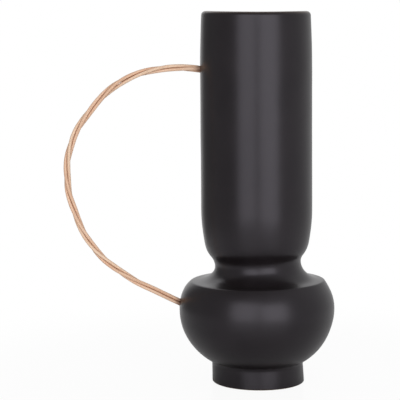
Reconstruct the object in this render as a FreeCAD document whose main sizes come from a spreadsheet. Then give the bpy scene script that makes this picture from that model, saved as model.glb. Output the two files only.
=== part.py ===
import FreeCAD, Part
import bisect
import math
import os
import Sketcher
from FreeCAD import Placement, Rotation, Vector

# A tall black glazed vase, a straight tube on a round bulb, with a hoop handle of three
# twisted canes glued into two holes in its wall.
# Millimetres. Origin at the centre of the foot, +Z up, handle towards -X.

doc = FreeCAD.newDocument("lekythos")

# Driving dimensions
SIZES = [
    # The cast body, from the lip down
    ("total_height", 350.0, "foot to lip"),
    ("tube_diameter", 105.0, "outside, over the straight wall"),
    ("wall_thickness", 7.0, "fired wall all over"),
    ("lip_ease_length", 60.0, "height over which the lip draws in"),
    ("lip_ease_depth", 1.5, "how far the lip draws in"),
    ("lip_flat", 0.4, "level land on top of the lip"),
    ("lip_inner_round", 1.2, "radius inside the lip"),
    ("tube_swell_length", 52.3, "from the waist up to the straight wall"),
    ("tube_turn_round", 25.0, "radius of the tube's lower turn"),
    ("underside_angle", 40.5, "degrees, where the waist gives over to the tube"),
    ("waist_inset", 11.7, "how far the waist is set in from the tube"),
    ("waist_round", 12.2, "radius of the hollow at the waist"),
    ("flare_round", 23.0, "radius of the hollow from the waist down to the shoulder"),
    ("flare_angle", 45.0, "degrees, where the waist gives over to the flare"),
    ("shoulder_width", 10.1, "from the middle of the waist's hollow to the shoulder's edge"),
    ("shoulder_slope", 8.5, "degrees, fall of the shoulder outwards"),
    ("shoulder_round", 3.2, "radius of the shoulder's edge"),
    ("inner_shoulder_round", 4.0, "radius inside the shoulder's edge"),
    ("shoulder_rise", 26.7, "shoulder's edge above the bulb's widest ring"),
    ("bulb_overhang", 10.6, "bulb's widest ring beyond the shoulder's edge"),
    ("bulb_height", 70.5, "height of the bulb's widest ring"),
    ("foot_height", 19.6, "where the foot would meet the bulb sharply"),
    ("foot_diameter", 87.6, "at the table"),
    ("foot_top_diameter", 86.6, "where it meets the bulb"),
    ("foot_fillet", 4.6, "radius between foot and bulb"),
    ("foot_edge_round", 1.2, "radius at the table"),
    ("foot_ring_width", 9.0, "width of the ring that stands on the table"),
    ("foot_recess_depth", 2.5, "hollow under the floor"),
    ("floor_thickness", 7.0, "floor above that hollow"),
    ("floor_round", 3.0, "radius inside, at the floor"),
    # The handle's two holes and the route between them
    ("upper_hole_drop", 54.0, "upper hole below the lip"),
    ("upper_hole_angle", 11.0, "degrees, canes' rise as they leave the tube"),
    ("lower_hole_rise", 5.0, "lower hole above the bulb's widest ring"),
    ("lower_hole_angle", 22.5, "degrees, canes' rise into the bulb's wall"),
    ("hoop_reach", 180.0, "hoop's outermost point from the axis"),
    ("hoop_middle_height", 202.5, "height of that point"),
    ("upper_pull", 81.0, "how far the hoop keeps the upper hole's direction"),
    ("middle_pull", 52.0, "how far it keeps upright at its outermost point"),
    ("lower_pull", 68.0, "how far it keeps the lower hole's direction"),
    # The canes and their glue
    ("cane_diameter", 3.0, "one peeled cane"),
    ("cane_gap", 0.1, "between neighbouring canes"),
    ("twist_lay", 110.0, "hoop length for one full turn of the twist"),
    ("twist_start", 76.0, "degrees, place of the first cane in the upper hole"),
    ("upper_twist_ramp", 10.0, "length over which the twist starts"),
    ("lower_twist_ramp", 60.0, "length over which the twist dies out"),
    ("cane_end_setback", 1.0, "canes' ends short of the wall's inside"),
    ("hole_clearance", 0.3, "between the canes and the hole"),
    ("glue_gap", 0.05, "between the glue and what it holds"),
    ("glue_setback", 1.3, "glue below the glaze, on the hole's axis"),
    ("cut_overrun", 4.0, "past a surface, for every cut"),
]
CANE_COUNT = 3
BIARCS_PER_LAY = 8
POINTS_PER_DIAMETER = 4

sheet = doc.addObject("Spreadsheet::Sheet", "sizes")
for row, (name, value, note) in enumerate(SIZES, start=1):
    sheet.set("A%d" % row, name)
    sheet.set("B%d" % row, str(value))
    sheet.set("C%d" % row, note)
    sheet.setAlias("B%d" % row, name)
doc.recompute()


def worth(formula):
    """What a formula on the sheet comes to."""
    return float(sheet.evalExpression(formula))


def size(name):
    """One driving dimension."""
    return worth("sizes." + name)


# Sizes that follow from the driving ones
TUBE_RADIUS = "(sizes.tube_diameter / 2)"
BORE_RADIUS = "(%s - sizes.wall_thickness)" % TUBE_RADIUS
WAIST_CENTRE = "(%s - sizes.waist_inset + sizes.waist_round)" % TUBE_RADIUS
EDGE_RADIUS = "(%s + sizes.shoulder_width)" % WAIST_CENTRE
EDGE_HEIGHT = "(sizes.bulb_height + sizes.shoulder_rise)"
SLOPE = "(sizes.shoulder_slope * 1deg)"
FLARE_STEP = "(sizes.flare_round - sizes.waist_round)"
FLARE_CENTRE = "(%s + %s * cos(sizes.flare_angle * 1deg))" % (WAIST_CENTRE, FLARE_STEP)
FLARE_HEIGHT = "(%s + (%s - %s) * tan(%s) + sizes.flare_round / cos(%s))" % (
    EDGE_HEIGHT,
    EDGE_RADIUS,
    FLARE_CENTRE,
    SLOPE,
    SLOPE,
)
WAIST_HEIGHT = "(%s - %s * sin(sizes.flare_angle * 1deg))" % (FLARE_HEIGHT, FLARE_STEP)
SWELL_HEIGHT = "(%s + sizes.tube_swell_length)" % WAIST_HEIGHT
EASE_HEIGHT = "(sizes.total_height - sizes.lip_ease_length)"
LIP_CENTRE = "(%s + sizes.lip_inner_round + sizes.lip_flat)" % BORE_RADIUS
FOOT_RADIUS = "(sizes.foot_diameter / 2)"
FOOT_TOP_RADIUS = "(sizes.foot_top_diameter / 2)"
BULB_RADIUS = "(%s + sizes.bulb_overhang)" % EDGE_RADIUS
FLOOR_HEIGHT = "(sizes.foot_recess_depth + sizes.floor_thickness)"
RECESS_RADIUS = "(%s - sizes.foot_ring_width)" % FOOT_RADIUS
BUNDLE_RING = "((sizes.cane_diameter + sizes.cane_gap) / sqrt(3))"
HOLE_RADIUS = "(%s + sizes.cane_diameter / 2 + sizes.hole_clearance)" % BUNDLE_RING


def arc_through(inset, rise):
    """Radius of an arc that starts upright and has drawn in by inset after rise."""
    return "((pow(%s; 2) + pow(%s; 2)) / (2 * %s))" % (inset, rise, inset)


UPPER_ARC = arc_through("sizes.bulb_overhang", "sizes.shoulder_rise")
LOWER_ARC = arc_through(
    "(%s - %s)" % (BULB_RADIUS, FOOT_TOP_RADIUS), "(sizes.bulb_height - sizes.foot_height)"
)
EASE_ARC = arc_through("sizes.lip_ease_depth", "sizes.lip_ease_length")

UPPER_HOLE = {
    "across": "(-1 * %s)" % TUBE_RADIUS,
    "up": "(sizes.total_height - sizes.upper_hole_drop)",
    "angle": "(sizes.upper_hole_angle * 1deg)",
}
LOWER_HOLE = {
    "across": "(%s - %s - sqrt(pow(%s; 2) - pow(sizes.lower_hole_rise; 2)))"
    % (UPPER_ARC, BULB_RADIUS, UPPER_ARC),
    "up": "(sizes.bulb_height + sizes.lower_hole_rise)",
    "angle": "(sizes.lower_hole_angle * 1deg)",
}


# Outlines. Each is drawn as a ring of lines and rounds that touch, then tied to the sheet.
class Line:
    """An endless line through a point, along a direction."""

    def __init__(self, point, direction):
        self.point = point
        self.direction = direction.normalize()

    def beside(self, distance, turn):
        """The same line moved aside, to the side that a round with this turn lies on."""
        left = Vector(-self.direction.y, self.direction.x, 0)
        return Line(self.point + left * (distance * turn), self.direction)

    def nearest(self, place):
        return self.point + self.direction * (place - self.point).dot(self.direction)


class Round:
    """A circle that the outline follows to the left (turn +1) or to the right (-1)."""

    def __init__(self, centre, radius, turn):
        self.centre = centre
        self.radius = radius
        self.turn = turn


def crossing(first, second):
    """Where two lines cross."""
    normal = Vector(-second.direction.y, second.direction.x, 0)
    step = (second.point - first.point).dot(normal) / first.direction.dot(normal)
    return first.point + first.direction * step


def touch(first, second):
    """Where two neighbours of an outline meet."""
    if isinstance(first, Line) and isinstance(second, Line):
        return crossing(first, second)
    if isinstance(first, Line):
        return first.nearest(second.centre)
    if isinstance(second, Line):
        return second.nearest(first.centre)
    outwards = second.centre - first.centre
    if first.turn == second.turn and first.radius < second.radius:
        outwards = -outwards
    return first.centre + outwards.normalize() * first.radius


def round_between_lines(first, second, radius, turn):
    return Round(crossing(first.beside(radius, turn), second.beside(radius, turn)), radius, turn)


def round_at_line(line, circle, radius, turn):
    """A round that touches a line and a circle, on the near side of the circle's centre."""
    level = line.beside(radius, turn)
    reach = circle.radius - radius if turn == circle.turn else circle.radius + radius
    abreast = level.nearest(circle.centre)
    along = math.sqrt(reach ** 2 - (circle.centre - abreast).Length ** 2)
    return Round(abreast - level.direction * along, radius, turn)


class Outline:
    """A closed outline in a sketch on the body's upright plane."""

    def __init__(self, body, name):
        self.sketch = body.newObject("Sketcher::SketchObject", name)
        plane = [f for f in body.Origin.OriginFeatures if f.Role == "XZ_Plane"][0]
        self.sketch.AttachmentSupport = [(plane, "")]
        self.sketch.MapMode = "FlatFace"
        self.shapes = {}
        self.numbers = {}

    def draw(self, shapes):
        """Draws named lines and rounds in turn; the last one leads back to the first."""
        self.shapes = shapes
        names = list(shapes)
        ring = [shapes[name] for name in names]
        meets = [touch(ring[i - 1], ring[i]) for i in range(len(ring))]
        for i, name in enumerate(names):
            start = meets[i]
            end = meets[(i + 1) % len(ring)]
            self.numbers[name] = self.sketch.addGeometry(self.piece(ring[i], start, end), False)
        for first, second in zip(names, names[1:] + names[:1]):
            straight = isinstance(shapes[first], Line) and isinstance(shapes[second], Line)
            kind = "Coincident" if straight else "Tangent"
            self.add(kind, *self.end(first), *self.start(second))

    def piece(self, shape, start, end):
        if isinstance(shape, Line):
            return Part.LineSegment(start, end)
        if shape.turn < 0:
            start, end = end, start
        from_angle, to_angle = [
            math.atan2(point.y - shape.centre.y, point.x - shape.centre.x) for point in (start, end)
        ]
        circle = Part.Circle(shape.centre, Vector(0, 0, 1), shape.radius)
        return Part.ArcOfCircle(circle, from_angle, to_angle)

    def runs_back(self, name):
        shape = self.shapes[name]
        return isinstance(shape, Round) and shape.turn < 0

    def start(self, name):
        return self.numbers[name], 2 if self.runs_back(name) else 1

    def end(self, name):
        return self.numbers[name], 1 if self.runs_back(name) else 2

    def centre(self, name):
        return self.numbers[name], 3

    def add(self, *arguments):
        return self.sketch.addConstraint(Sketcher.Constraint(*arguments))

    def bind(self, formula, kind, *arguments):
        """A dimension that the sheet drives."""
        value = worth(formula)
        if kind == "Angle":
            value = math.radians(value)
        number = self.add(kind, *arguments, value)
        self.sketch.setExpression("Constraints[%d]" % number, formula)

    def level(self, *names):
        for name in names:
            self.add("Horizontal", self.numbers[name])

    def upright(self, *names):
        for name in names:
            self.add("Vertical", self.numbers[name])

    def radius(self, name, formula):
        self.bind(formula, "Radius", self.numbers[name])

    def across(self, place, formula):
        """A point's distance from the axis."""
        self.bind(formula, "DistanceX", -1, 1, *place)

    def up(self, place, formula):
        """A point's height."""
        self.bind(formula, "DistanceY", -1, 1, *place)

    def at(self, place, across, up):
        self.across(place, across)
        self.up(place, up)

    def corner(self, point, *names):
        """A sharp corner that a round takes off, kept as a point on its two sides."""
        number = self.sketch.addGeometry(Part.Point(point), True)
        for name in names:
            self.add("PointOnObject", number, 1, self.numbers[name])
        return number, 1


UP = Vector(0, 1, 0)
OUT = Vector(1, 0, 0)
AXIS = Line(Vector(0, 0, 0), -UP)
LEFT = 1
RIGHT = -1


def flat(across, up):
    """A point of an outline, from its two formulas."""
    return Vector(worth(across), worth(up), 0)


def wall_rounds(inset):
    """The rounds and the shoulder between foot and tube, moved into the wall by inset."""
    slope = math.radians(size("shoulder_slope"))
    underside = math.radians(size("underside_angle"))
    inwards = Vector(-math.cos(slope), math.sin(slope), 0)
    shoulder = Line(flat(EDGE_RADIUS, EDGE_HEIGHT), inwards).beside(inset, LEFT)
    lower = Round(flat("%s - %s" % (BULB_RADIUS, LOWER_ARC), "sizes.bulb_height"), 0, LEFT)
    lower.radius = worth(LOWER_ARC) - inset
    upper = Round(flat("%s - %s" % (BULB_RADIUS, UPPER_ARC), "sizes.bulb_height"), 0, LEFT)
    upper.radius = worth(UPPER_ARC) - inset
    flare = Round(flat(FLARE_CENTRE, FLARE_HEIGHT), size("flare_round") + inset, RIGHT)
    waist = Round(flat(WAIST_CENTRE, WAIST_HEIGHT), size("waist_round") + inset, RIGHT)
    reach = size("waist_round") + size("tube_turn_round")
    aside = Vector(-math.cos(underside), math.sin(underside), 0) * reach
    turn = Round(waist.centre + aside, size("tube_turn_round") - inset, LEFT)
    # The swell stands upright where the straight wall starts, and touches the turn.
    inset_to_turn = worth(TUBE_RADIUS) - turn.centre.x
    rise_to_turn = worth(SWELL_HEIGHT) - turn.centre.y
    swell_radius = (inset_to_turn ** 2 + rise_to_turn ** 2 - size("tube_turn_round") ** 2) / (
        2 * (inset_to_turn - size("tube_turn_round"))
    )
    swell_centre = Vector(worth(TUBE_RADIUS) - swell_radius, worth(SWELL_HEIGHT), 0)
    swell = Round(swell_centre, swell_radius - inset, LEFT)
    return lower, upper, shoulder, flare, waist, turn, swell


def bind_wall(outline, inset):
    """Ties what the outer and the inner outline have in common."""
    outline.at(outline.end("lower_bulb"), "%s - %s" % (BULB_RADIUS, inset), "sizes.bulb_height")
    outline.up(outline.centre("lower_bulb"), "sizes.bulb_height")
    outline.bind("(180 - sizes.shoulder_slope) * 1deg", "Angle", outline.numbers["shoulder"])
    outline.radius("flare", "sizes.flare_round + %s" % inset)
    outline.across(outline.centre("flare"), FLARE_CENTRE)
    outline.radius("waist", "sizes.waist_round + %s" % inset)
    outline.across(outline.centre("waist"), WAIST_CENTRE)
    outline.radius("turn", "sizes.tube_turn_round - %s" % inset)
    outline.up(
        outline.end("waist"),
        "%s + (sizes.waist_round + %s) * sin(sizes.underside_angle * 1deg)"
        % (WAIST_HEIGHT, inset),
    )
    outline.at(outline.start("tube"), "%s - %s" % (TUBE_RADIUS, inset), SWELL_HEIGHT)
    outline.upright("tube", "axis")
    outline.level("top")


def draw_outside(body):
    """Foot, bulb, shoulder, waist, tube and lip, closed along the axis."""
    outline = Outline(body, "outside_outline")
    lower, upper, shoulder, flare, waist, turn, swell = wall_rounds(0)
    base = Line(Vector(0, 0, 0), OUT)
    foot_corner = flat(FOOT_RADIUS, "0")
    foot_top = flat(FOOT_TOP_RADIUS, "sizes.foot_height")
    foot_wall = Line(foot_corner, foot_top - foot_corner)
    ease = Round(flat("%s - %s" % (TUBE_RADIUS, EASE_ARC), EASE_HEIGHT), worth(EASE_ARC), LEFT)
    # The lip's round ends at the land on its top, and touches the ease.
    beside = worth(LIP_CENTRE) - ease.centre.x
    above = size("total_height") - ease.centre.y
    lip_radius = (ease.radius ** 2 - beside ** 2 - above ** 2) / (2 * (ease.radius - above))
    lip_centre = Vector(worth(LIP_CENTRE), size("total_height") - lip_radius, 0)
    outline.draw(
        {
            "base": base,
            "foot_edge": round_between_lines(base, foot_wall, size("foot_edge_round"), LEFT),
            "foot_wall": foot_wall,
            "foot_fillet": round_at_line(foot_wall, lower, size("foot_fillet"), RIGHT),
            "lower_bulb": lower,
            "upper_bulb": upper,
            "shoulder_edge": round_at_line(shoulder, upper, size("shoulder_round"), LEFT),
            "shoulder": shoulder,
            "flare": flare,
            "waist": waist,
            "turn": turn,
            "swell": swell,
            "tube": Line(flat(TUBE_RADIUS, "0"), UP),
            "ease": ease,
            "lip": Round(lip_centre, lip_radius, LEFT),
            "top": Line(flat("0", "sizes.total_height"), -OUT),
            "axis": AXIS,
        }
    )
    outline.add("Coincident", -1, 1, *outline.start("base"))
    outline.level("base")
    outline.radius("foot_edge", "sizes.foot_edge_round")
    corner = outline.corner(foot_corner, "base", "foot_wall")
    outline.across(corner, FOOT_RADIUS)
    corner = outline.corner(foot_top, "foot_wall", "lower_bulb")
    outline.at(corner, FOOT_TOP_RADIUS, "sizes.foot_height")
    outline.radius("foot_fillet", "sizes.foot_fillet")
    corner = outline.corner(flat(EDGE_RADIUS, EDGE_HEIGHT), "upper_bulb", "shoulder")
    outline.at(corner, EDGE_RADIUS, EDGE_HEIGHT)
    outline.radius("shoulder_edge", "sizes.shoulder_round")
    bind_wall(outline, "0")
    outline.up(outline.end("tube"), EASE_HEIGHT)
    outline.radius("ease", EASE_ARC)
    outline.across(outline.centre("lip"), LIP_CENTRE)
    outline.up(outline.start("top"), "sizes.total_height")
    return outline.sketch


def draw_inside(body):
    """The hollow, one wall thickness inside the outside, open past the lip."""
    outline = Outline(body, "inside_outline")
    lower, upper, shoulder, flare, waist, turn, swell = wall_rounds(size("wall_thickness"))
    well_radius = "%s - sizes.wall_thickness" % FOOT_TOP_RADIUS
    overrun_height = "sizes.total_height + sizes.cut_overrun"
    floor = Line(flat("0", FLOOR_HEIGHT), OUT)
    well = Line(flat(well_radius, "0"), UP)
    outer_fillet = size("foot_fillet") + size("wall_thickness")
    outline.draw(
        {
            "floor": floor,
            "floor_edge": round_between_lines(floor, well, size("floor_round"), LEFT),
            "well": well,
            "foot_fillet": round_at_line(well, lower, outer_fillet, RIGHT),
            "lower_bulb": lower,
            "upper_bulb": upper,
            "shoulder_edge": round_at_line(shoulder, upper, size("inner_shoulder_round"), LEFT),
            "shoulder": shoulder,
            "flare": flare,
            "waist": waist,
            "turn": turn,
            "swell": swell,
            "tube": Line(flat(BORE_RADIUS, "0"), UP),
            "top": Line(flat("0", overrun_height), -OUT),
            "axis": AXIS,
        }
    )
    outline.add("PointOnObject", *outline.start("floor"), -2)
    outline.up(outline.start("floor"), FLOOR_HEIGHT)
    outline.level("floor")
    outline.radius("floor_edge", "sizes.floor_round")
    outline.upright("well")
    outline.across(outline.start("well"), well_radius)
    outline.radius("foot_fillet", "sizes.foot_fillet + sizes.wall_thickness")
    outline.across(outline.centre("lower_bulb"), "%s - %s" % (BULB_RADIUS, LOWER_ARC))
    outline.across(outline.centre("upper_bulb"), "%s - %s" % (BULB_RADIUS, UPPER_ARC))
    outline.radius("shoulder_edge", "sizes.inner_shoulder_round")
    outline.up(outline.centre("waist"), WAIST_HEIGHT)
    bind_wall(outline, "sizes.wall_thickness")
    outline.up(outline.start("top"), overrun_height)
    return outline.sketch


def draw_recess(body):
    """The shallow hollow under the floor, inside the foot ring."""
    outline = Outline(body, "recess_outline")
    outline.draw(
        {
            "below": Line(flat("0", "-1 * sizes.cut_overrun"), OUT),
            "ring": Line(flat(RECESS_RADIUS, "0"), UP),
            "roof": Line(flat("0", "sizes.foot_recess_depth"), -OUT),
            "axis": AXIS,
        }
    )
    outline.level("below", "roof")
    outline.upright("ring", "axis")
    outline.add("PointOnObject", *outline.start("axis"), -2)
    outline.at(outline.end("ring"), RECESS_RADIUS, "sizes.foot_recess_depth")
    outline.up(outline.start("below"), "-1 * sizes.cut_overrun")
    return outline.sketch


def draw_hole(body, name, hole):
    """Half of a drilled hole, along its slanted axis, from outside the glaze to the hollow."""
    outline = Outline(body, name + "_outline")
    angle = math.radians(worth(hole["angle"]))
    outwards = Vector(-math.cos(angle), math.sin(angle), 0)
    aside = Vector(-outwards.y, outwards.x, 0)
    mouth = flat(hole["across"], hole["up"])
    depth = size("wall_thickness") + size("cut_overrun")
    outer = mouth + outwards * size("cut_overrun")
    outline.draw(
        {
            "axis": Line(outer, -outwards),
            "inner_end": Line(mouth - outwards * depth, aside),
            "side": Line(outer + aside * worth(HOLE_RADIUS), outwards),
            "outer_end": Line(outer, -aside),
        }
    )
    outline.at(
        outline.start("axis"),
        "%s - sizes.cut_overrun * cos(%s)" % (hole["across"], hole["angle"]),
        "%s + sizes.cut_overrun * sin(%s)" % (hole["up"], hole["angle"]),
    )
    outline.bind("-1 * %s" % hole["angle"], "Angle", outline.numbers["axis"])
    for first, second in (("axis", "inner_end"), ("inner_end", "side"), ("side", "outer_end")):
        outline.add("Perpendicular", outline.numbers[first], outline.numbers[second])
    outline.bind(
        "sizes.wall_thickness + 2 * sizes.cut_overrun", "Distance", outline.numbers["axis"]
    )
    outline.bind(HOLE_RADIUS, "Distance", outline.numbers["inner_end"])
    return outline.sketch


def turned(body, kind, name, sketch, axis):
    """A full turn of an outline, added (Revolution) or cut away (Groove)."""
    before = body.Shape.Volume if body.Tip else 0
    feature = body.newObject("PartDesign::" + kind, name)
    feature.Profile = sketch
    feature.ReferenceAxis = (sketch, [axis])
    feature.Angle = 360
    body.Tip = feature
    doc.recompute()
    change = body.Shape.Volume - before
    if (change > 0) != (kind == "Revolution"):
        raise RuntimeError("%s changed the volume by %.1f" % (name, change))
    return feature


def make_vase():
    """The whole vessel is one fired piece: foot, bulb, waist, tube and lip."""
    body = doc.addObject("PartDesign::Body", "vase")
    turned(body, "Revolution", "outside", draw_outside(body), "V_Axis")
    turned(body, "Groove", "inside", draw_inside(body), "V_Axis")
    turned(body, "Groove", "recess", draw_recess(body), "V_Axis")
    round_lip(body)
    for name, hole in (("upper_hole", UPPER_HOLE), ("lower_hole", LOWER_HOLE)):
        turned(body, "Groove", name, draw_hole(body, name, hole), "Edge1")
    body.Label = "vase_body"
    return body


def round_lip(body):
    """Rounds the bore's upper edge."""
    bored = body.Tip
    bore = worth(BORE_RADIUS)
    rings = [
        (edge.CenterOfMass.z, number)
        for number, edge in enumerate(bored.Shape.Edges, start=1)
        if isinstance(edge.Curve, Part.Circle)
        and edge.isClosed()
        and math.isclose(edge.Curve.Radius, bore, rel_tol=1e-6)
    ]
    feature = body.newObject("PartDesign::Fillet", "lip_inside")
    feature.Base = (bored, ["Edge%d" % max(rings)[1]])
    feature.setExpression("Radius", "sizes.lip_inner_round")
    body.Tip = feature
    doc.recompute()


# The hoop's centre line lies in the XZ plane. It is straight in each hole, and one smooth curve
# between them, through its outermost point.
def outward_direction(hole):
    angle = math.radians(worth(hole["angle"]))
    return Vector(-math.cos(angle), 0, math.sin(angle))


def mouth(hole):
    """Where the hole's axis leaves the glaze."""
    return Vector(worth(hole["across"]), 0, worth(hole["up"]))


def bezier(poles, share):
    """A point of a cubic curve with four poles."""
    rest = 1 - share
    weights = (rest ** 3, 3 * rest ** 2 * share, 3 * rest * share ** 2, share ** 3)
    place = Vector(0, 0, 0)
    for pole, weight in zip(poles, weights):
        place += pole * weight
    return place


def ramped(share):
    """How much of a ramp counts, where the rate climbs smoothly from none to full."""
    return share ** 3 - share ** 4 / 2


class Hoop:
    """The line that the canes twist round, measured along itself from the upper glaze."""

    STEPS = 200

    def __init__(self):
        self.upper = mouth(UPPER_HOLE)
        self.lower = mouth(LOWER_HOLE)
        self.upper_out = outward_direction(UPPER_HOLE)
        self.lower_out = outward_direction(LOWER_HOLE)
        middle = Vector(-size("hoop_reach"), 0, size("hoop_middle_height"))
        upright = Vector(0, 0, size("middle_pull"))
        leaving = self.upper + self.upper_out * size("upper_pull")
        arriving = self.lower + self.lower_out * size("lower_pull")
        shares = [step / self.STEPS for step in range(self.STEPS + 1)]
        upper_span = (self.upper, leaving, middle + upright, middle)
        lower_span = (middle, middle - upright, arriving, self.lower)
        self.points = [bezier(upper_span, share) for share in shares]
        self.points += [bezier(lower_span, share) for share in shares[1:]]
        self.lengths = [0.0]
        for before, after in zip(self.points, self.points[1:]):
            self.lengths.append(self.lengths[-1] + (after - before).Length)
        self.length = self.lengths[-1]
        self.step = self.length / self.STEPS
        self.upper_ramp = size("upper_twist_ramp")
        self.lower_ramp = size("lower_twist_ramp")
        self.lay = size("twist_lay")
        self.first_angle = math.radians(size("twist_start"))
        self.ring = worth(BUNDLE_RING)

    def centre(self, along):
        if along <= 0:
            return self.upper + self.upper_out * along
        if along >= self.length:
            return self.lower - self.lower_out * (along - self.length)
        after = bisect.bisect_right(self.lengths, along)
        before = after - 1
        share = (along - self.lengths[before]) / (self.lengths[after] - self.lengths[before])
        return self.points[before] * (1 - share) + self.points[after] * share

    def direction(self, along):
        if along <= 0:
            return self.upper_out
        if along >= self.length:
            return -self.lower_out
        ahead = min(along + self.step, self.length)
        behind = max(along - self.step, 0)
        return (self.centre(ahead) - self.centre(behind)).normalize()

    def twist(self, along):
        """The bundle's turn in radians. It starts over one ramp and dies out over another."""
        steady = self.length - self.upper_ramp - self.lower_ramp
        from_start = min(max(along, 0), self.length)
        to_end = self.length - from_start
        turned_length = ramped(min(from_start / self.upper_ramp, 1)) * self.upper_ramp
        turned_length += min(max(from_start - self.upper_ramp, 0), steady)
        turned_length += (ramped(1) - ramped(min(to_end / self.lower_ramp, 1))) * self.lower_ramp
        return self.first_angle + 2 * math.pi * turned_length / self.lay

    def cane_centre(self, cane, along):
        """The middle of one cane. With no turn the first cane is on the hoop's outside."""
        direction = self.direction(along)
        outside = Vector(direction.z, 0, -direction.x)
        front = Vector(0, -1, 0)
        angle = self.twist(along) + 2 * math.pi * cane / CANE_COUNT
        return self.centre(along) + (outside * math.cos(angle) + front * math.sin(angle)) * self.ring

    def cane_direction(self, cane, along):
        if along <= 0 or along >= self.length:
            return self.direction(along)
        ahead = self.cane_centre(cane, along + self.step)
        return (ahead - self.cane_centre(cane, along - self.step)).normalize()


# The canes
def arc_middle(start, direction, end):
    """The middle of the arc that leaves start in a direction and ends at end."""
    chord = end - start
    along = Vector(chord).normalize()
    aside = direction - along * direction.dot(along)
    bend = math.atan2(aside.Length, direction.dot(along))
    if bend == 0:
        return start + chord / 2
    return start + chord / 2 + aside.normalize() * (chord.Length / 2 * math.tan(bend / 2))


def biarc(start, start_direction, end, end_direction):
    """Two arcs that touch, from one point and direction to another."""
    chord = end - start
    both = chord.dot(start_direction + end_direction)
    spread = 2 * (1 - start_direction.dot(end_direction))
    reach = chord.dot(chord) / (both + math.sqrt(both ** 2 + spread * chord.dot(chord)))
    joint = (start + start_direction * reach + end - end_direction * reach) / 2
    return [
        Part.Arc(start, arc_middle(start, start_direction, joint), joint).toShape(),
        Part.Arc(joint, arc_middle(end, -end_direction, joint), end).toShape(),
    ]


def cane_path(hoop, cane):
    """Straight through each wall, and a twist of biarcs between them."""
    buried = size("wall_thickness") - size("cane_end_setback")
    stations = math.ceil(hoop.length / hoop.lay * BIARCS_PER_LAY)
    alongs = [hoop.length * station / stations for station in range(stations + 1)]
    places = [hoop.cane_centre(cane, along) for along in alongs]
    directions = [hoop.cane_direction(cane, along) for along in alongs]
    edges = [Part.LineSegment(places[0] - directions[0] * buried, places[0]).toShape()]
    for i in range(stations):
        edges += biarc(places[i], directions[i], places[i + 1], directions[i + 1])
    edges.append(Part.LineSegment(places[-1], places[-1] + directions[-1] * buried).toShape())
    return Part.Wire(edges)


def make_cane(hoop, cane):
    """One peeled cane, a round rod bent along its twisted path."""
    path = cane_path(hoop, cane)
    radius = size("cane_diameter") / 2
    start = path.OrderedVertexes[0].Point
    section = Part.Wire(Part.Circle(start, hoop.upper_out, radius).toShape())
    solid = path.makePipeShell([section], True, False)
    expected = math.pi * radius ** 2 * path.Length
    print("cane %d: length %.1f, volume share %.5f" % (cane + 1, path.Length, solid.Volume / expected))
    feature = doc.addObject("Part::Feature", "cane_%d" % (cane + 1))
    feature.Shape = solid
    feature.Placement = Placement()
    feature.Label = "rattan_cane_%d" % (cane + 1)
    return feature, path


def print_gaps(paths):
    """The least gap between neighbouring canes, on points along their paths."""
    lines = [path.discretize(Distance=size("cane_diameter") / POINTS_PER_DIAMETER) for path in paths]
    reach = 2 * POINTS_PER_DIAMETER
    for first in range(CANE_COUNT):
        second = (first + 1) % CANE_COUNT
        least = min(
            (point - other).Length
            for i, point in enumerate(lines[first])
            for other in lines[second][max(i - reach, 0) : i + reach]
        )
        gap = least - size("cane_diameter")
        print("canes %d and %d: least gap %.3f" % (first + 1, second + 1, gap))


# The glue that fills each hole round its three canes
def rod(name, start, direction, radius, height):
    """A cylinder whose radius and height are formulas on the sheet."""
    cylinder = doc.addObject("Part::Cylinder", name)
    cylinder.setExpression("Radius", radius)
    cylinder.setExpression("Height", height)
    cylinder.Placement = Placement(start, Rotation(Vector(0, 0, 1), direction))
    return cylinder


def make_glue(name, hole, cane_centres):
    """A plug of set glue with a channel for each cane."""
    inwards = -outward_direction(hole)
    length = "sizes.wall_thickness - sizes.cane_end_setback - sizes.glue_setback"
    start = mouth(hole) + inwards * size("glue_setback")
    plug = rod(
        name + "_fill", start, inwards, "%s - sizes.glue_gap" % HOLE_RADIUS, length
    )
    channel_length = "%s + 2 * sizes.cut_overrun" % length
    back = inwards * (size("glue_setback") - size("cut_overrun"))
    channels = [
        rod(
            "%s_channel_%d" % (name, number),
            centre + back,
            inwards,
            "sizes.cane_diameter / 2 + sizes.glue_gap",
            channel_length,
        )
        for number, centre in enumerate(cane_centres, start=1)
    ]
    heart = rod(name + "_heart", mouth(hole) + back, inwards, BUNDLE_RING, channel_length)
    channel = doc.addObject("Part::MultiFuse", name + "_channels")
    channel.Shapes = channels + [heart]
    glue = doc.addObject("Part::Cut", name)
    glue.Base = plug
    glue.Tool = channel
    glue.Label = name
    return glue


# The assembly
def check_document():
    for item in doc.Objects:
        if "Invalid" in item.State or "Error" in item.State:
            raise RuntimeError("%s failed" % item.Name)
        if item.isDerivedFrom("Sketcher::SketchObject") and not item.FullyConstrained:
            raise RuntimeError("%s isn't fully constrained" % item.Name)


def write_parts(pieces):
    os.makedirs("parts", exist_ok=True)
    for piece in pieces:
        shape = piece.Shape
        if shape.isNull() or not shape.isValid() or len(shape.Solids) != 1:
            raise RuntimeError("%s isn't one valid solid" % piece.Label)
    for piece in pieces:
        piece.Shape.exportStep(os.path.join("parts", piece.Label + ".step"))
        print("%s: %.2f cm3" % (piece.Label, piece.Shape.Volume / 1000))


vase = make_vase()
hoop = Hoop()
canes = []
paths = []
for number in range(CANE_COUNT):
    feature, path = make_cane(hoop, number)
    canes.append(feature)
    paths.append(path)
print_gaps(paths)
upper_centres = [hoop.cane_centre(number, 0) for number in range(CANE_COUNT)]
lower_centres = [hoop.cane_centre(number, hoop.length) for number in range(CANE_COUNT)]
upper_glue = make_glue("upper_glue_plug", UPPER_HOLE, upper_centres)
lower_glue = make_glue("lower_glue_plug", LOWER_HOLE, lower_centres)
doc.recompute()
check_document()
write_parts([vase] + canes + [upper_glue, lower_glue])
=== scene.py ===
import math

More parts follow.
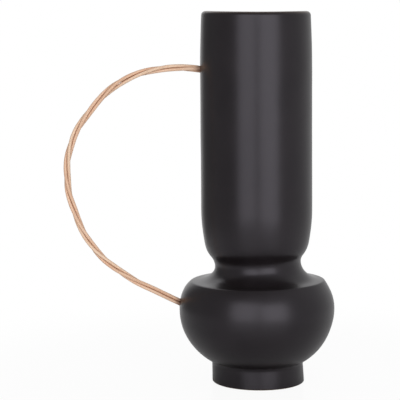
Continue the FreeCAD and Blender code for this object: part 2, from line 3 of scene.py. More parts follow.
import bmesh
import bpy
import numpy as np
from mathutils import Matrix, Vector, noise


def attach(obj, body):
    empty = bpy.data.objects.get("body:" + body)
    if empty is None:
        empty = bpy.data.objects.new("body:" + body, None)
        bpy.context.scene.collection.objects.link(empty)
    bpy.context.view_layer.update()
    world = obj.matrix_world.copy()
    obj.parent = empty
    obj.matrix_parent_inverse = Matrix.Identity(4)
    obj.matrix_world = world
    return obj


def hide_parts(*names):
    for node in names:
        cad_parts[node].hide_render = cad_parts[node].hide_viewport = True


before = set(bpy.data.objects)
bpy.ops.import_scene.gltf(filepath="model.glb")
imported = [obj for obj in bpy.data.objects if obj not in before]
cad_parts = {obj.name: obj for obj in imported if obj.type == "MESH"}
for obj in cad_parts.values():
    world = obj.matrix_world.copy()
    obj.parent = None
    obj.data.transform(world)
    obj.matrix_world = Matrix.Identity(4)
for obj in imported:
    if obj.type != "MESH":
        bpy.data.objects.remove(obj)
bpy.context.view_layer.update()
MM = 0.001

# The vase: one hollow stoneware body, slip-cast, dipped in satin black glaze and fired once.
# It leans a little, its wall is slightly uneven, and the glaze is wiped off where it stands.
TOTAL_HEIGHT = 350 * MM
WALL = 7 * MM
TUBE_RADIUS = 52.5 * MM
BORE_RADIUS = TUBE_RADIUS - WALL
WAIST_INSET = 11.7 * MM
WAIST_ROUND = 12.2 * MM
WAIST_FLARE = 23 * MM
FLARE_ANGLE = math.radians(45)
SHOULDER_WIDTH = 10.1 * MM
SHOULDER_SLOPE = math.radians(8.5)
SHOULDER_ROUND = 3.2 * MM
INNER_SHOULDER_ROUND = 4 * MM
UNDERSIDE_ANGLE = math.radians(40.5)
TURN_ROUND = 25 * MM
SWELL_LENGTH = 52.3 * MM
BULB_HEIGHT = 70.5 * MM
BULB_OVERHANG = 10.6 * MM
SHOULDER_RISE = 26.7 * MM
FOOT_HEIGHT = 19.6 * MM
FOOT_RADIUS = 43.8 * MM
FOOT_TOP_RADIUS = 43.3 * MM
FOOT_FILLET = 4.6 * MM
FOOT_EDGE_ROUND = 1.2 * MM
FOOT_RING_WIDTH = 9 * MM
RECESS_DEPTH = 2.5 * MM
RECESS_ROUND = 0.8 * MM
FLOOR_HEIGHT = 9.5 * MM
FLOOR_ROUND = 3 * MM
LIP_EASE_LENGTH = 60 * MM
LIP_EASE_DEPTH = 1.5 * MM
LIP_FLAT = 0.4 * MM
LIP_INNER_ROUND = 1.2 * MM
LEAN = 0.0078
LEAN_PIVOT_HEIGHT = BULB_HEIGHT
LIP_DIP = 0.8 * MM
SHRINK = 0.18 * MM
DENTS = ((42 * MM, 0.16 * MM), (15 * MM, 0.065 * MM))
SIDE_STEPS = (
    (106.5 * MM, 10 * MM, 1.6 * MM),
    (50 * MM, 15 * MM, -0.45 * MM),
    (0, 18 * MM, 0.9 * MM),
)
WAIST_TILT = (0.024, -0.015)
WAIST_DROP = 0.4 * MM
WAIST_TILT_ENDS = (88 * MM, 106 * MM, 118 * MM, 145 * MM)
OUTLINE_STEP = 2.6 * MM
OUTLINE_TURN = math.radians(6)
TURNING_STEPS = 176
DRILL_STEPS = 40
HOLE_RADIUS = 3.6 * MM
HOLE_EDGE_ROUND = 0.5 * MM
UPPER_HOLE_HEIGHT = 296.2 * MM
UPPER_HOLE_ANGLE = math.radians(9)
LOWER_HOLE_HEIGHT = 75.5 * MM
LOWER_HOLE_ANGLE = math.radians(23.5)
LIP_WEAR_BELOW = 2.2 * MM
LIP_WEAR_ABOVE = 0.4 * MM
BARE_CLAY_RADII = (41.4 * MM, 42.4 * MM)
BARE_CLAY_HEIGHTS = (3 * MM, 4 * MM)
GLAZE_EDGE = 0.4 * MM


def across_up(angle):
    return np.array((math.cos(angle), math.sin(angle)))


def arc_through(inset, rise):
    """Radius of an arc that starts upright and has drawn in by inset after rise."""
    return (inset ** 2 + rise ** 2) / (2 * inset)


def beside_both(centre, reach, corner, direction, aside):
    """A round's centre that lies reach from another centre and aside from a line."""
    start = corner + aside
    foot = start + direction * np.dot(centre - start, direction)
    along = math.sqrt(reach ** 2 - np.sum((centre - foot) ** 2))
    return foot - direction * along


class Outline:
    """Half of a turned shape's section, as points from the axis round and back to it."""

    def __init__(self, across, up, facing):
        self.points = [np.array((across, up))]
        self.facing = facing

    def line_to(self, point):
        start = self.points[-1]
        length = math.dist(start, point)
        steps = max(math.ceil(length / OUTLINE_STEP), 1)
        if length > 1e-9:
            self.points += [start + (point - start) * step / steps for step in range(1, steps + 1)]

    def round(self, centre, radius, facing):
        """A round that turns the surface from the way it faces to a new one. A hollow has radius < 0."""
        sweep = facing - self.facing
        self.line_to(centre + across_up(self.facing) * radius)
        steps = math.ceil(max(abs(sweep * radius) / OUTLINE_STEP, abs(sweep) / OUTLINE_TURN))
        for step in range(1, steps + 1):
            self.points.append(centre + across_up(self.facing + sweep * step / steps) * radius)
        self.facing = facing

    def corner(self, point, facing):
        self.line_to(np.array(point))
        self.facing = facing


def vase_outline():
    """The wall's section: under the foot, up the outside, over the lip, down inside to the floor."""
    down, out, up, inwards = [math.radians(degrees) for degrees in (-90, 0, 90, 180)]
    waist = np.array((TUBE_RADIUS - WAIST_INSET + WAIST_ROUND, 0.0))
    edge = np.array((waist[0] + SHOULDER_WIDTH, BULB_HEIGHT + SHOULDER_RISE))
    flare_step = across_up(FLARE_ANGLE) * (WAIST_FLARE - WAIST_ROUND)
    flare = waist + flare_step
    flare[1] = edge[1] + (edge[0] - flare[0]) * math.tan(SHOULDER_SLOPE)
    flare[1] += WAIST_FLARE / math.cos(SHOULDER_SLOPE)
    waist[1] = flare[1] - flare_step[1]
    bulb_radius = edge[0] + BULB_OVERHANG
    upper_arc = arc_through(BULB_OVERHANG, SHOULDER_RISE)
    lower_arc = arc_through(bulb_radius - FOOT_TOP_RADIUS, BULB_HEIGHT - FOOT_HEIGHT)
    upper = np.array((bulb_radius - upper_arc, BULB_HEIGHT))
    lower = np.array((bulb_radius - lower_arc, BULB_HEIGHT))
    foot_lean = math.atan2(FOOT_RADIUS - FOOT_TOP_RADIUS, FOOT_HEIGHT)
    foot_up = across_up(up + foot_lean)
    foot_out = across_up(foot_lean)
    foot = beside_both(
        lower, lower_arc + FOOT_FILLET, np.array((FOOT_RADIUS, 0.0)), foot_up, foot_out * FOOT_FILLET
    )
    shoulder_in = across_up(inwards - SHOULDER_SLOPE)
    shoulder_up = across_up(up - SHOULDER_SLOPE)
    rim = beside_both(
        upper, upper_arc - SHOULDER_ROUND, edge, shoulder_in, shoulder_up * -SHOULDER_ROUND
    )
    inner_arc = upper_arc - WALL
    inner_edge = edge - shoulder_up * WALL
    inner_rim = beside_both(
        upper,
        inner_arc - INNER_SHOULDER_ROUND,
        inner_edge,
        shoulder_in,
        shoulder_up * -INNER_SHOULDER_ROUND,
    )
    turn = waist + across_up(inwards - UNDERSIDE_ANGLE) * (WAIST_ROUND + TURN_ROUND)
    beside = TUBE_RADIUS - turn[0]
    above = waist[1] + SWELL_LENGTH - turn[1]
    swell_arc = (beside ** 2 + above ** 2 - TURN_ROUND ** 2) / (2 * (beside - TURN_ROUND))
    swell = np.array((TUBE_RADIUS - swell_arc, waist[1] + SWELL_LENGTH))
    ease_arc = arc_through(LIP_EASE_DEPTH, LIP_EASE_LENGTH)
    ease = np.array((TUBE_RADIUS - ease_arc, TOTAL_HEIGHT - LIP_EASE_LENGTH))
    lip = np.array((BORE_RADIUS + LIP_INNER_ROUND + LIP_FLAT, TOTAL_HEIGHT))
    lip_round = (ease_arc ** 2 - np.sum((lip - ease) ** 2)) / (2 * (ease_arc - LIP_EASE_LENGTH))
    lip[1] -= lip_round

    def facing(start, end):
        return math.atan2(end[1] - start[1], end[0] - start[0])

    ring_inside = FOOT_RADIUS - FOOT_RING_WIDTH
    outline = Outline(0, RECESS_DEPTH, down)
    outline.round(
        np.array((ring_inside - RECESS_ROUND, RECESS_DEPTH - RECESS_ROUND)), RECESS_ROUND * -1, down
    )
    outline.corner((ring_inside, RECESS_DEPTH), inwards)
    outline.corner((ring_inside, 0), down)
    foot_edge = np.array((FOOT_RADIUS - FOOT_EDGE_ROUND, FOOT_EDGE_ROUND))
    outline.round(foot_edge, FOOT_EDGE_ROUND, foot_lean)
    outline.round(foot, -FOOT_FILLET, facing(lower, foot))
    outline.round(lower, lower_arc, out)
    outline.round(upper, upper_arc, facing(upper, rim))
    outline.round(rim, SHOULDER_ROUND, up - SHOULDER_SLOPE)
    outline.round(flare, -WAIST_FLARE, FLARE_ANGLE)
    outline.round(waist, -WAIST_ROUND, -UNDERSIDE_ANGLE)
    outline.round(turn, TURN_ROUND, facing(swell, turn))
    outline.round(swell, swell_arc, out)
    outline.round(ease, ease_arc, facing(ease, lip))
    outline.round(lip, lip_round, up)
    inner_lip = np.array((BORE_RADIUS + LIP_INNER_ROUND, TOTAL_HEIGHT - LIP_INNER_ROUND))
    outline.round(inner_lip, LIP_INNER_ROUND, inwards)
    outline.round(swell, WALL - swell_arc, inwards + facing(swell, turn))
    outline.round(turn, WALL - TURN_ROUND, inwards - UNDERSIDE_ANGLE)
    outline.round(waist, WAIST_ROUND + WALL, inwards + FLARE_ANGLE)
    outline.round(flare, WAIST_FLARE + WALL, inwards + up - SHOULDER_SLOPE)
    outline.round(inner_rim, -INNER_SHOULDER_ROUND, inwards + facing(upper, inner_rim))
    outline.round(upper, -inner_arc, inwards)
    inner_foot = beside_both(
        lower,
        lower_arc + FOOT_FILLET,
        np.array((FOOT_TOP_RADIUS - WALL, 0.0)),
        across_up(up),
        across_up(out) * (FOOT_FILLET + WALL),
    )
    outline.round(lower, WALL - lower_arc, inwards + facing(lower, inner_foot))
    outline.round(inner_foot, FOOT_FILLET + WALL, inwards)
    floor_edge = np.array((FOOT_TOP_RADIUS - WALL - FLOOR_ROUND, FLOOR_HEIGHT + FLOOR_ROUND))
    outline.round(floor_edge, -FLOOR_ROUND, up)
    outline.line_to(np.array((0, FLOOR_HEIGHT)))
    return outline.points


def new_piece(name, points, faces, uvs=None):
    """A smooth mesh object. uvs gives a place on the surface for each corner of each face."""
    mesh = bpy.data.meshes.new(name)
    mesh.from_pydata([tuple(point) for point in points], [], faces)
    if uvs:
        layer = mesh.uv_layers.new(name="surface")
        layer.data.foreach_set("uv", np.array(uvs, np.float32).ravel())
    mesh.validate()
    mesh.shade_smooth()
    piece = bpy.data.objects.new(name, mesh)
    bpy.context.scene.collection.objects.link(piece)
    return piece


def turned_mesh(outline, steps):
    """Points and faces of an outline turned about the upright axis. Both its ends lie on the axis."""
    points = [(0.0, 0.0, outline[0][1])]
    rings = outline[1:-1]
    for across, up in rings:
        for step in range(steps):
            angle = 2 * math.pi * step / steps
            points.append((across * math.cos(angle), across * math.sin(angle), up))
    points.append((0.0, 0.0, outline[-1][1]))
    last = len(points) - 1
    faces = []
    for step in range(steps):
        after = (step + 1) % steps
        faces.append((0, 1 + after, 1 + step))
        for ring in range(len(rings) - 1):
            low = 1 + ring * steps
            high = low + steps
            faces.append((low + step, low + after, high + after, high + step))
        top = 1 + (len(rings) - 1) * steps
        faces.append((top + step, top + after, last))
    return points, faces


def ramp(value, start, end):
    """0 up to start, 1 from end, and a soft slope between them."""
    share = min(max((value - start) / (end - start), 0), 1)
    return share * share * (3 - 2 * share)


def handmade(point):
    """Where a point of the true shape lies on this vase, which leans and isn't quite round."""
    x, y, z = point
    radius = max(math.hypot(x, y), WALL)
    swell = sum(noise.noise(Vector(point) / size) * depth for size, depth in DENTS) - SHRINK
    grow = 1 + swell / radius
    aside = (LEAN_PIVOT_HEIGHT - z) * LEAN
    for height, length, step in SIDE_STEPS:
        aside += step * math.exp(-(((z - height) / length) ** 2))
    waist = ramp(z, *WAIST_TILT_ENDS[:2]) - ramp(z, *WAIST_TILT_ENDS[2:])
    lift = (WAIST_TILT[0] * x + WAIST_TILT[1] * y - WAIST_DROP) * waist
    drop = LIP_DIP * (y / radius) ** 2 * (z / TOTAL_HEIGHT) ** 8
    return Vector((x * grow + aside, y * grow, z + lift - drop))


def cut_away(piece, cutter):
    """Takes one mesh away from another, and removes the cutter."""
    modifier = piece.modifiers.new("cut", "BOOLEAN")
    modifier.operation = "DIFFERENCE"
    modifier.solver = "EXACT"
    modifier.object = cutter
    with bpy.context.temp_override(object=piece):
        bpy.ops.object.modifier_apply(modifier="cut")
    bpy.data.objects.remove(cutter)


def wall_point(outline, height):
    """The glaze's place on the handle's side at a height."""
    across = max(
        low[0] + (high[0] - low[0]) * (height - low[1]) / (high[1] - low[1])
        for low, high in zip(outline, outline[1:])
        if low[1] <= height < high[1]
    )
    return handmade((-across, 0, height))


def along_hole(mouth, angle):
    """Turns a shape's +Z into the hole's way out, with its origin on the glaze."""
    outwards = Vector((-math.cos(angle), 0, math.sin(angle)))
    return Matrix.Translation(mouth) @ outwards.to_track_quat("Z", "Y").to_matrix().to_4x4()


def drill_outline():
    """A drill with a flare at the glaze, which rounds the hole's edge."""
    outline = Outline(0, -WALL * 2, 0)
    outline.corner((HOLE_RADIUS, -WALL * 2), 0)
    outline.corner((HOLE_RADIUS, -HOLE_EDGE_ROUND), math.pi)
    flare = np.array((HOLE_RADIUS + HOLE_EDGE_ROUND, -HOLE_EDGE_ROUND))
    outline.round(flare, HOLE_EDGE_ROUND, math.pi / 2)
    outline.line_to(np.array((HOLE_RADIUS + HOLE_EDGE_ROUND, WALL)))
    outline.line_to(np.array((0, WALL)))
    return outline.points


def handle_holes(outline):
    """Each hole's place on the glaze and how steeply it leaves, the upper one first."""
    return (
        (wall_point(outline, UPPER_HOLE_HEIGHT), UPPER_HOLE_ANGLE),
        (wall_point(outline, LOWER_HOLE_HEIGHT), LOWER_HOLE_ANGLE),
    )


def make_vase():
    outline = vase_outline()
    points, faces = turned_mesh(outline, TURNING_STEPS)
    vase = new_piece("glazed_vase", [handmade(point) for point in points], faces)
    for mouth, angle in handle_holes(outline):
        points, faces = turned_mesh(drill_outline(), DRILL_STEPS)
        drill = new_piece("drill", points, faces)
        drill.data.transform(along_hole(mouth, angle))
        cut_away(vase, drill)
    vase.data.set_sharp_from_angle(angle=math.radians(50))
    return vase


class Value:
    """One output of a node, with plain arithmetic."""

    def __init__(self, finish, socket):
        self.finish = finish
        self.socket = socket

    def math(self, operation, *others, swap=False):
        values = (self,) + others
        if swap:
            values = values[::-1]
        return self.finish.node("ShaderNodeMath", {"operation": operation}, dict(enumerate(values)))

    def __add__(self, other):
        return self.math("ADD", other)

    def __radd__(self, other):
        return self.math("ADD", other, swap=True)

    def __sub__(self, other):
        return self.math("SUBTRACT", other)

    def __rsub__(self, other):
        return self.math("SUBTRACT", other, swap=True)

    def __mul__(self, other):
        return self.math("MULTIPLY", other)

    def __truediv__(self, other):
        return self.math("DIVIDE", other)

    def between(self, low, high):
        """0 up to low, 1 from high, and a soft slope between them."""
        settings = {"interpolation_type": "SMOOTHSTEP"}
        inputs = {"Value": self, "From Min": low, "From Max": high}
        return self.finish.node("ShaderNodeMapRange", settings, inputs)


class Finish:
    """The node tree of a material or of the world, emptied and built again."""

    def __init__(self, owner):
        owner.use_nodes = True
        self.owner = owner
        self.tree = owner.node_tree
        self.tree.nodes.clear()

    def node(self, kind, settings=None, inputs=None, output=0):
        node = self.tree.nodes.new(kind)
        for name, value in (settings or {}).items():
            setattr(node, name, value)
        for name, value in (inputs or {}).items():
            if isinstance(value, Value):
                self.tree.links.new(value.socket, node.inputs[name])
            else:
                node.inputs[name].default_value = value
        return Value(self, node.outputs[output])

    def place(self):
        """A point's own place in metres."""
        return self.node("ShaderNodeTexCoord", output="Object")

    def parts(self, vector):
        split = self.node("ShaderNodeSeparateXYZ", inputs={"Vector": vector})
        return [Value(self, output) for output in split.socket.node.outputs]

    def stretched(self, vector, scale):
        inputs = {0: vector, 1: scale}
        return self.node("ShaderNodeVectorMath", {"operation": "MULTIPLY"}, inputs)

    def cloud(self, vector, size, detail=3.0):
        """Soft noise whose features are about as large as size."""
        inputs = {"Vector": vector, "Scale": 1 / size, "Detail": detail}
        return self.node("ShaderNodeTexNoise", {"noise_dimensions": "3D"}, inputs)

    def mix(self, share, first, second):
        """A colour between two, each a Value or an sRGB triple."""
        colours = [c if isinstance(c, Value) else linear(c) for c in (first, second)]
        node = self.tree.nodes.new("ShaderNodeMix")
        node.data_type = "RGBA"
        sockets = (node.inputs[0], node.inputs[6], node.inputs[7])
        for socket, value in zip(sockets, (share, *colours)):
            if isinstance(value, Value):
                self.tree.links.new(value.socket, socket)
            else:
                socket.default_value = value
        return Value(self, node.outputs[2])

    def bump(self, height, depth):
        """Fine relief as deep as depth, at half strength."""
        inputs = {"Height": height, "Distance": depth, "Strength": 0.5}
        return self.node("ShaderNodeBump", inputs=inputs)

    def surface(self, **inputs):
        """The finished material. Each input is named as on the shader, with _ for a space."""
        named = {name.replace("_", " "): value for name, value in inputs.items()}
        shader = self.node("ShaderNodeBsdfPrincipled", inputs=named)
        self.node_output("ShaderNodeOutputMaterial", shader)
        return self.owner

    def node_output(self, kind, shader):
        output = self.tree.nodes.new(kind)
        self.tree.links.new(shader.socket, output.inputs["Surface"])


def linear(colour):
    """An sRGB colour in 0 to 255 as Blender's linear one."""
    shares = [channel / 255 for channel in colour]
    return [s / 12.92 if s <= 0.04045 else ((s + 0.055) / 1.055) ** 2.4 for s in shares] + [1.0]


def glaze_finish():
    """Satin black glaze, thinner and browner on the lip, with bare clay where the foot stands."""
    finish = Finish(bpy.data.materials.new("black_glaze"))
    place = finish.place()
    x, y, z = finish.parts(place)
    clouds = finish.cloud(place, 45 * MM)
    runs = finish.cloud(finish.stretched(place, (1, 1, 0.25)), 9 * MM)
    peel = finish.cloud(place, 2.2 * MM, detail=2.0)
    grit = finish.cloud(place, 0.5 * MM, detail=1.0)
    glaze = finish.mix(clouds.between(0.35, 0.65), (18, 14, 15), (23, 19, 20))
    glaze = finish.mix(grit.between(0.68, 0.8) * 0.5, glaze, (40, 34, 34))
    worn = (z + runs * 1.5 * MM).between(TOTAL_HEIGHT - LIP_WEAR_BELOW, TOTAL_HEIGHT + LIP_WEAR_ABOVE)
    glaze = finish.mix(worn * 0.8, glaze, (70, 52, 38))
    radius = (x * x + y * y).math("SQRT")
    glaze_edge = (z - clouds * 0.6 * MM).between(0, GLAZE_EDGE)
    under = (1 - radius.between(*BARE_CLAY_RADII)) * (1 - z.between(*BARE_CLAY_HEIGHTS))
    bare = under.math("MAXIMUM", 1 - glaze_edge)
    clay = finish.mix(grit.between(0.4, 0.62), (176, 158, 137), (141, 118, 95))
    colour = finish.mix(bare, glaze, clay)
    satin = 0.27 + clouds * 0.05 + runs * 0.04
    roughness = satin + bare * (0.9 - satin)
    height = peel * 0.5 + runs * 0.35 + grit * (0.06 + bare * 0.6)
    return finish.surface(
        Base_Color=colour,
        Roughness=roughness,
        IOR=1.45,
        Specular_Tint=(0.93, 0.885, 1.0, 1.0),
        Normal=finish.bump(height, 0.05 * MM),
    )


vase = make_vase()
vase.data.materials.append(glaze_finish())
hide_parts("vase_body")
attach(vase, "root")

# The handle: three peeled rattan canes, steamed, twisted round each other into a hoop,
# and pushed into the two holes in the vase's wall.
CANE_COUNT = 3
CANE_RADIUS = 1.56 * MM
CANE_SPACING = 3.3 * MM
CANE_SIDES = 28
CANE_STEP = 1.0 * MM
CANE_DEPTH = 6 * MM
RIB_DEPTH = 0.05 * MM
RIB_RUN = 16 * MM
WANDER_RUN = 25 * MM
WANDER_SHARE = 0.03
END_DARK_LENGTH = 6 * MM
HOOP_ROUTE = [
    (-67, 297.1),
    (-89, 296.6),
    (-110.8, 291.8),
    (-131.2, 282.4),
    (-147.9, 267.7),
    (-162.2, 250.3),
    (-173.3, 230.9),
    (-178.6, 209.3),
    (-178.5, 186.7),
    (-173.3, 164.8),
    (-164.7, 143.8),
    (-152.3, 124.9),
    (-135.9, 109.5),
    (-116.8, 97.0),
    (-96.5, 86.7),
]
FIRST_TURN = 76
TURNS = [
    (27.5, 150),
    (67, 270),
    (108.5, 390),
    (142.5, 510),
    (175, 630),
    (208, 750),
    (245.5, 870),
    (278.5, 990),
    (319, 1110),
    (357, 1128),
]
LOOSE_PLACE = 80 * MM
LOOSE_LENGTH = 14 * MM
LOOSE_SHARE = 0.2


def curve_through(places, knots, wanted):
    """Values of a smooth curve through places at knots, at the wanted knots."""
    places = np.array(places, float)
    knots = np.array(knots, float)
    slopes = np.gradient(places, knots, axis=0)
    found = []
    for knot in wanted:
        i = min(max(np.searchsorted(knots, knot) - 1, 0), len(knots) - 2)
        span = knots[i + 1] - knots[i]
        t = (knot - knots[i]) / span
        start = (1 + 2 * t) * (1 - t) ** 2 * places[i] + t * (1 - t) ** 2 * span * slopes[i]
        end = t * t * (3 - 2 * t) * places[i + 1] + t * t * (t - 1) * span * slopes[i + 1]
        found.append(start + end)
    return np.array(found)


def hoop_line():
    """Points of the hoop's middle line, its knots being its length from the upper glaze."""
    (upper, upper_angle), (lower, lower_angle) = handle_holes(vase_outline())
    upper_out = np.array((-math.cos(upper_angle), math.sin(upper_angle)))
    lower_out = np.array((-math.cos(lower_angle), math.sin(lower_angle)))
    upper = np.array((upper.x, upper.z))
    lower = np.array((lower.x, lower.z))
    route = [np.array(point) * MM for point in HOOP_ROUTE]
    places = [upper - upper_out * WALL, upper] + route + [lower, lower - lower_out * WALL]
    knots = np.concatenate(([0], np.cumsum([math.dist(a, b) for a, b in zip(places, places[1:])])))
    return places, knots - knots[1]


def cane_lines():
    """Each cane's points, and the way it faces away from the bundle's middle."""
    places, knots = hoop_line()
    length = knots[-2]
    start = -CANE_DEPTH
    end = length + CANE_DEPTH
    alongs = np.linspace(start, end, math.ceil((end - start) / CANE_STEP))
    middle = curve_through(places, knots, alongs)
    tangent = np.gradient(middle, alongs, axis=0)
    tangent /= np.linalg.norm(tangent, axis=1)[:, None]
    turn_places, turn_angles = zip(*TURNS)
    twisted = np.clip(alongs / MM, 0, turn_places[-1])
    turns = curve_through((FIRST_TURN, *turn_angles), (0, *turn_places), twisted)
    lines = []
    for cane in range(CANE_COUNT):
        angle = np.radians(turns + 360 / CANE_COUNT * cane)
        loose = 1 + LOOSE_SHARE * np.exp(-(((alongs - LOOSE_PLACE) / LOOSE_LENGTH) ** 2))
        wander = [noise.noise(Vector((along / WANDER_RUN, cane * 7, 0))) for along in alongs]
        ring = CANE_SPACING / math.sqrt(3) * (loose + WANDER_SHARE * np.array(wander))
        outside = np.stack((tangent[:, 1], np.zeros(len(alongs)), -tangent[:, 0]), axis=1)
        front = np.array((0, -1, 0))
        facing = outside * np.cos(angle)[:, None] + front * np.sin(angle)[:, None]
        centre = np.stack((middle[:, 0], np.zeros(len(alongs)), middle[:, 1]), axis=1)
        lines.append((alongs, centre + facing * ring[:, None], facing))
    return lines


def make_cane(number, alongs, line, facing):
    """One cane as a ribbed tube, its ribs being the long fibres of the peeled stem."""
    direction = np.gradient(line, axis=0)
    direction /= np.linalg.norm(direction, axis=1)[:, None]
    side = np.cross(direction, facing)
    side /= np.linalg.norm(side, axis=1)[:, None]
    out = np.cross(side, direction)
    points = []
    for i, along in enumerate(alongs):
        for step in range(CANE_SIDES):
            angle = 2 * math.pi * step / CANE_SIDES
            place = Vector((math.cos(angle) * 1.3, math.sin(angle) * 1.3, along / RIB_RUN + number * 9))
            rib = noise.noise(place * 1.9) * RIB_DEPTH * 1.6
            rib += noise.noise(Vector((place.x * 4, place.y * 4, place.z * 0.3))) * RIB_DEPTH
            radius = CANE_RADIUS - RIB_DEPTH * 0.4 + rib
            points.append(line[i] + (out[i] * math.cos(angle) + side[i] * math.sin(angle)) * radius)
    faces = []
    uvs = []
    for i in range(len(alongs) - 1):
        for step in range(CANE_SIDES):
            after = (step + 1) % CANE_SIDES
            low = i * CANE_SIDES
            high = low + CANE_SIDES
            faces.append((low + step, low + after, high + after, high + step))
            for around, place in ((step, i), (step + 1, i), (step + 1, i + 1), (step, i + 1)):
                uvs.append((around / CANE_SIDES, alongs[place]))
    for ring in (0, len(alongs) - 1):
        end = [ring * CANE_SIDES + step for step in range(CANE_SIDES)]
        faces.append(tuple(reversed(end)) if ring == 0 else tuple(end))
        uvs += [(step / CANE_SIDES, alongs[ring]) for step in range(CANE_SIDES)]
    cane = new_piece("twisted_cane_%d" % number, points, faces, uvs)
    cane.data.set_sharp_from_angle(angle=math.radians(60))
    return cane


def cane_finish(number, length, light, dark):
    """Peeled cane: pale straw with long darker fibres and a few stains, painted shade in the grooves
    between the canes, and darker at both ends, round the holes.
    """
    finish = Finish(bpy.data.materials.new("rattan_%d" % number))
    around, along, _ = finish.parts(finish.node("ShaderNodeTexCoord", output="UV"))
    turn = around * (2 * math.pi)
    circle = finish.node(
        "ShaderNodeCombineXYZ",
        inputs={"X": turn.math("COSINE"), "Y": turn.math("SINE"), "Z": along / (30 * MM) + number * 5.0},
    )
    fibres = finish.cloud(circle, 0.3, detail=2.0)
    streaks = finish.cloud(circle, 0.75, detail=2.0)
    stains = finish.cloud(finish.stretched(circle, (0.6, 0.6, 2.2)), 1.3, detail=2.0)
    # Painted shade: the side of each cane that faces the bundle's middle, where the canes touch, is
    # mixed to a darker brown.
    inwards = turn.math("COSINE") * -1 + streaks * 0.3
    colour = finish.mix(streaks.between(0.3, 0.7), light, dark)
    colour = finish.mix(fibres.between(0.5, 0.75) * 0.25, colour, (196, 146, 116))
    colour = finish.mix(stains.between(0.66, 0.82) * 0.5, colour, (150, 108, 86))
    colour = finish.mix(inwards.between(0.1, 0.9) * 0.55, colour, (184, 122, 84))
    # Darker towards both ends, over the last few millimetres outside and inside the holes.
    darker_ends = along.between(END_DARK_LENGTH, 0).math("MAXIMUM", along.between(length - END_DARK_LENGTH, length))
    colour = finish.mix(darker_ends * 0.8, colour, (108, 74, 58))
    return finish.surface(
        Base_Color=colour,
        Roughness=0.5 + fibres * 0.2,
        Normal=finish.bump(fibres, 0.05 * MM),
    )


CANE_COLOURS = [
    ((222, 190, 165), (212, 173, 145)),
    ((218, 183, 155), (205, 163, 135)),
    ((223, 195, 171), (214, 179, 150)),
]
for number, (line, colours) in enumerate(zip(cane_lines(), CANE_COLOURS), start=1):
    cane = make_cane(number, *line)
    length = line[0][-1] - CANE_DEPTH
    cane.data.materials.append(cane_finish(number, length, *colours))
    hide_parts("rattan_cane_%d" % number)
    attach(cane, "root")

# The glue: a clear brown bead set in each hole, that has crept up round the canes
# just below the glaze.
GLUE_DEPTH = 6 * MM
GLUE_TOP = 1.0 * MM
GLUE_CREEP = 0.5 * MM
GLUE_GAP = 0.05 * MM
GLUE_STEPS = 36


def glue_outline():
    """A plug whose top is dished between the hole's wall and the canes."""
    radius = HOLE_RADIUS - GLUE_GAP
    outline = Outline(0, -GLUE_DEPTH, 0)
    outline.corner((radius, -GLUE_DEPTH), 0)
    outline.corner((radius, -GLUE_TOP), math.pi)
    for share in (0.85, 0.7, 0.5, 0.25):
        dish = GLUE_CREEP * math.sin(math.pi * (1 - share) * 1.6)
        outline.line_to(np.array((radius * share, -GLUE_TOP + max(dish, -GLUE_CREEP))))
    outline.line_to(np.array((0, -GLUE_TOP)))
    return outline.points


def glue_finish():
    """Set glue, brown, glossy and a little cloudy."""
    finish = Finish(bpy.data.materials.new("glue"))
    clouds = finish.cloud(finish.place(), 1.5 * MM)
    return finish.surface(
        Base_Color=finish.mix(clouds, (96, 62, 38), (60, 40, 28)),
        Roughness=0.25 + clouds * 0.2,
        Normal=finish.bump(clouds, 0.1 * MM),
    )


glue_material = glue_finish()
for name, (mouth, angle) in zip(("upper", "lower"), handle_holes(vase_outline())):
    points, faces = turned_mesh(glue_outline(), GLUE_STEPS)
    glue = new_piece(name + "_glue", points, faces)
    glue.data.transform(along_hole(mouth, angle))
    glue.data.materials.append(glue_material)
    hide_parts(name + "_glue_plug")
    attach(glue, "root")

# The table: a round pale board that the vase stands on, wide enough for its shadow.
FLOOR_RADIUS = 0.5
FLOOR_RIM_RADII = (0.2, 0.45)
FLOOR_SIDES = 96
FLOOR_DROP = 0.05 * MM
FLOOR_WHITE_SHARE = 0.93
FLOOR_GLOSS_SHARE = 0.3


def make_floor():
    mesh = bmesh.new()
    bmesh.ops.create_circle(mesh, cap_ends=True, segments=FLOOR_SIDES, radius=FLOOR_RADIUS)
    data = bpy.data.meshes.new("floor")
    bmesh.ops.translate(mesh, verts=mesh.verts, vec=(0, 0, -FLOOR_DROP))
    mesh.to_mesh(data)
    floor = bpy.data.objects.new("floor", data)
    bpy.context.scene.collection.objects.link(floor)
    return floor


def ray_kinds(finish):
    """Whether the camera, gloss or clear glass looks at this point."""
    path = finish.node("ShaderNodeLightPath").socket.node.outputs
    names = ("Is Camera Ray", "Is Glossy Ray", "Is Transmission Ray")
    return [Value(finish, path[name]) for name in names]


def floor_finish():
    """Smooth off-white board. It shows as white towards its rim, and keeps the vase's shadow."""
    finish = Finish(bpy.data.materials.new("pale_floor"))
    x, y, _ = finish.parts(finish.place())
    rim = (x * x + y * y).math("SQRT").between(*FLOOR_RIM_RADII)
    camera, gloss, glass = ray_kinds(finish)
    shown = FLOOR_WHITE_SHARE + rim * (1 - FLOOR_WHITE_SHARE)
    share = (camera.math("MAXIMUM", glass) * shown).math("MAXIMUM", gloss * rim * FLOOR_GLOSS_SHARE)
    board = finish.node(
        "ShaderNodeBsdfPrincipled", inputs={"Base Color": linear((236, 236, 236)), "Roughness": 0.2}
    )
    white = finish.node("ShaderNodeEmission", inputs={"Color": (1, 1, 1, 1), "Strength": 1.0})
    both = finish.node("ShaderNodeMixShader", inputs={0: share, 1: board, 2: white})
    finish.node_output("ShaderNodeOutputMaterial", both)
    return finish.owner


floor = make_floor()
floor.data.materials.append(floor_finish())

# The studio: a white background, two large soft lamps in front with the camera between them,
# and a dimmer one high up behind.
WORLD_LEFT = 0.42
WORLD_RIGHT = 0.66
WORLD_FALL = 0.2
WORLD_ABOVE_FALL = 0.2


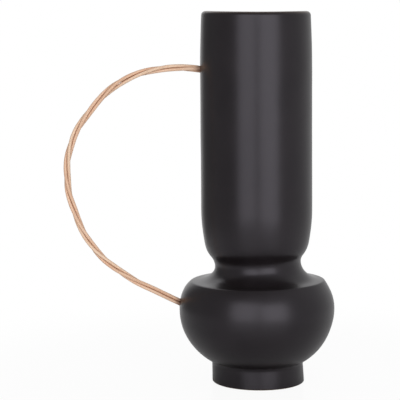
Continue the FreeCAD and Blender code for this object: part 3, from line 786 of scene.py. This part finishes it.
def studio_world():
    """White where it is looked at. Its light is dimmer, more so on the handle's side and above."""
    world = bpy.data.worlds.new("studio")
    bpy.context.scene.world = world
    finish = Finish(world)
    x, y, z = finish.parts(finish.node("ShaderNodeTexCoord", output="Generated"))
    right = x.between(-0.5, 0.6)
    above = z.between(0.65, 0.95)
    left_back = y.between(0, 0.7) * (1 - right)
    level = WORLD_LEFT + right * (WORLD_RIGHT - WORLD_LEFT) - left_back * WORLD_FALL
    level = level - above * WORLD_ABOVE_FALL
    aside = (x + 0.12).math("ABSOLUTE").between(0.25, 0.6)
    behind = y.between(0.65, 0.95) * (1 - aside)
    camera, gloss, glass = ray_kinds(finish)
    shown = camera.math("MAXIMUM", glass).math("MAXIMUM", gloss * behind)
    strength = level + shown * (1 - level)
    shade = finish.node("ShaderNodeBackground", inputs={"Color": (1, 1, 1, 1), "Strength": strength})
    finish.node_output("ShaderNodeOutputWorld", shade)


def softbox(name, azimuth, elevation, distance, width, height, radiance):
    """A flat soft lamp that faces the vase. Azimuth 0 is in front, and grows to the right."""
    lamp = bpy.data.lights.new(name, "AREA")
    lamp.shape = "RECTANGLE"
    lamp.size = width
    lamp.size_y = height
    lamp.energy = radiance * math.pi * width * height
    light = bpy.data.objects.new(name, lamp)
    bpy.context.scene.collection.objects.link(light)
    azimuth, elevation = math.radians(azimuth), math.radians(elevation)
    level = Vector((math.sin(azimuth), -math.cos(azimuth), 0))
    way = level * math.cos(elevation) + Vector((0, 0, math.sin(elevation)))
    target = Vector((0, 0, TOTAL_HEIGHT / 2))
    light.location = target + way * distance
    light.rotation_euler = way.to_track_quat("Z", "Y").to_euler()
    light.visible_camera = False


studio_world()
softbox(
    "front_left_softbox",
    azimuth=-20.5,
    elevation=11.7,
    distance=2.2,
    width=1.45,
    height=2.08,
    radiance=2.04,
)
softbox(
    "front_right_softbox",
    azimuth=24.2,
    elevation=9.7,
    distance=2.2,
    width=1.6,
    height=1.89,
    radiance=2.17,
)
softbox("back_softbox", azimuth=195, elevation=50, distance=1.8, width=1.2, height=1.2, radiance=1.2)

# The camera stands a little left of the vase, just below its lip, and looks down at it.
CAMERA_PLACE = (-54.1 * MM, -1451.4 * MM, 340.5 * MM)
CAMERA_FALL = math.radians(6.578)
CAMERA_LENS = 139.5
CAMERA_SENSOR = 36
camera_data = bpy.data.cameras.new("camera")
camera_data.sensor_width = CAMERA_SENSOR
camera_data.lens = CAMERA_LENS
camera = bpy.data.objects.new("camera", camera_data)
bpy.context.scene.collection.objects.link(camera)
camera.location = CAMERA_PLACE
camera.rotation_euler = (math.radians(90) - CAMERA_FALL, 0, 0)
bpy.context.scene.camera = camera
bpy.context.scene.view_settings.view_transform = "Standard"
